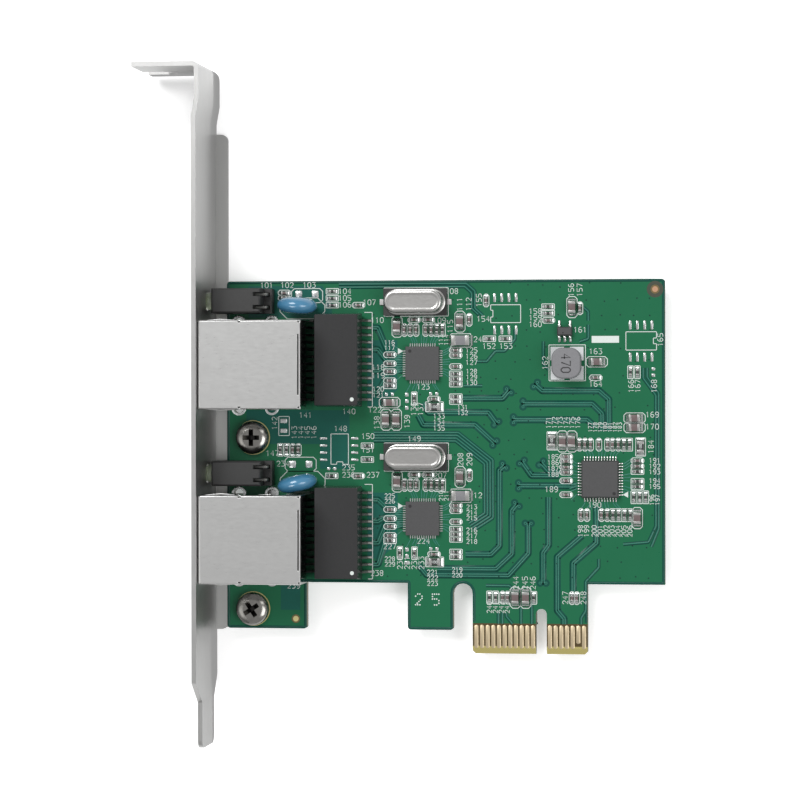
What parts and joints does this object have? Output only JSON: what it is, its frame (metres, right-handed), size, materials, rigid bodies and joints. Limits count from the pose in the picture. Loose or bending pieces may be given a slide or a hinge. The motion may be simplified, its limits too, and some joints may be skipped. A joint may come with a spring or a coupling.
{
  "type": "network interface card",
  "caption": "Network interface card with modular jacks side by side behind a slotted bracket, controllers, transformers and a short edge connector for a bus slot.",
  "frame": {"origin": "where the key notch's centre line meets the lower edge of the edge connector, on the board's component side", "axes": "+X away from the bracket along the edge connector, +Y away from the edge connector, +Z out of the component side"},
  "size_m": [0.092, 0.12, 0.0184],
  "materials": {
    "laminate": "glossy green solder mask on glass-epoxy laminate",
    "gold_plate": "electroplated gold over nickel",
    "bracket_steel": "bright nickel-plated sheet steel",
    "screw_steel": "nickel-plated steel",
    "shield_tin": "satin tin-plated sheet",
    "housing_plastic": "black moulded thermoplastic",
    "lamp_resin": "clear tinted epoxy",
    "tinned_lead": "bright tinned copper",
    "moulding": "black epoxy moulding compound",
    "disc_coating": "dipped epoxy coating",
    "crystal_nickel": "satin nickel can",
    "crystal_base": "black moulded base",
    "ferrite": "pressed ferrite",
    "inductor_base": "pale moulded base",
    "capacitor_ceramic": "fired ceramic with tinned ends",
    "resistor_ceramic": "black glaze on ceramic with tinned ends"
  },
  "bodies": {
    "root": {"pcb": "laminate", "edge_contacts": "gold_plate", "bracket": "bracket_steel", "bracket_screws": "screw_steel", "upper_jack_shield": "shield_tin", "upper_jack_housing": "housing_plastic", "upper_jack_contacts": "gold_plate", "upper_lamp_holder": "housing_plastic", "upper_lamp": "lamp_resin", "upper_lamp_leads": "tinned_lead", "upper_transformer": "moulding", "upper_transformer_leads": "tinned_lead", "upper_disc_capacitor": "disc_coating", "upper_disc_capacitor_leads": "tinned_lead", "upper_controller": "moulding", "upper_crystal_can": "crystal_nickel", "upper_crystal_base": "crystal_base", "upper_crystal_terminals": "tinned_lead", "lower_jack_shield": "shield_tin", "lower_jack_housing": "housing_plastic", "lower_jack_contacts": "gold_plate", "lower_lamp_holder": "housing_plastic", "lower_lamp": "lamp_resin", "lower_lamp_leads": "tinned_lead", "lower_transformer": "moulding", "lower_transformer_leads": "tinned_lead", "lower_disc_capacitor": "disc_coating", "lower_disc_capacitor_leads": "tinned_lead", "lower_controller": "moulding", "lower_crystal_can": "crystal_nickel", "lower_crystal_base": "crystal_base", "lower_crystal_terminals": "tinned_lead", "bridge_chip": "moulding", "bridge_chip_leads": "tinned_lead", "regulator": "moulding", "regulator_leads": "tinned_lead", "inductor_core": "ferrite", "inductor_base": "inductor_base", "small_capacitors": "capacitor_ceramic", "small_resistors": "resistor_ceramic", "large_capacitors": "capacitor_ceramic", "marked_resistors": "resistor_ceramic", "ferrite_beads": "ferrite"}
  },
  "joints": []
}
